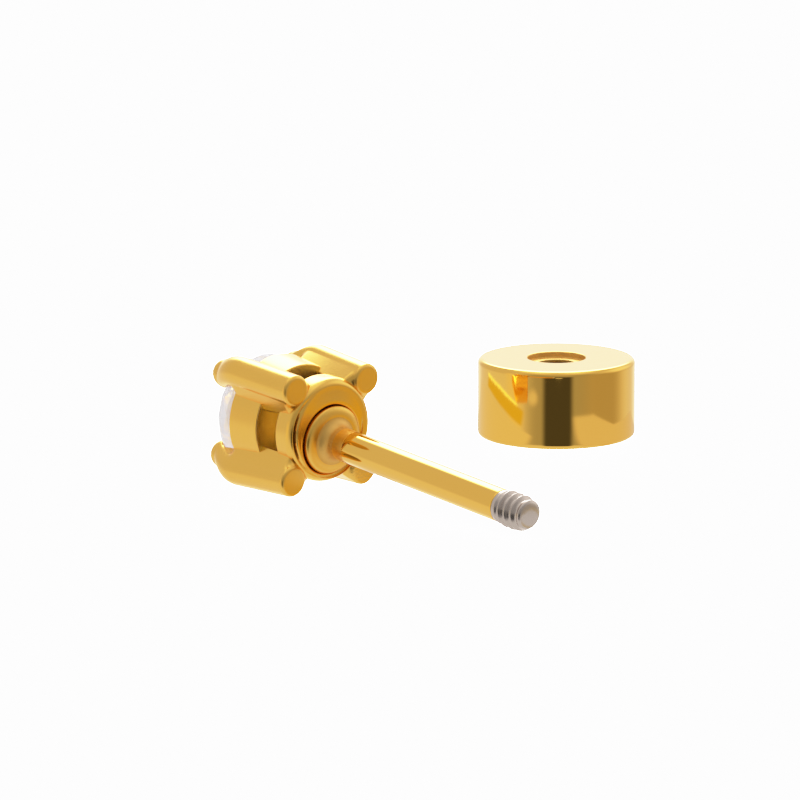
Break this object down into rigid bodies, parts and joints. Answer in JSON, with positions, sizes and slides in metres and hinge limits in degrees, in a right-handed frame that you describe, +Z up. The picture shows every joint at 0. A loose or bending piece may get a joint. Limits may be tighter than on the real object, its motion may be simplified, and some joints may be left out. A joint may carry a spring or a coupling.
{
  "type": "flat back ear stud with screw-on disc",
  "caption": "Screw-on flat back ear stud: a round brilliant in a claw basket on a threaded post, lying beside its thick round back disc.",
  "frame": {"origin": "bottom centre of the box round the stud and its disc, on the surface they lie on", "axes": "+X is the stud's level direction from stone to thread, +Y runs across it towards the disc, +Z is up, along the disc's axis"},
  "size_m": [0.0108, 0.0124, 0.0032],
  "materials": {
    "clear_stone": "polished colourless cubic zirconia",
    "gold_plating": "polished yellow gold plating on steel",
    "bare_steel": "turned steel left bare at the post's thread"
  },
  "bodies": {
    "root": {"stone": "clear_stone", "prong_basket": "gold_plating", "threaded_post": "gold_plating", "flat_back_disc": "gold_plating"}
  },
  "joints": []
}
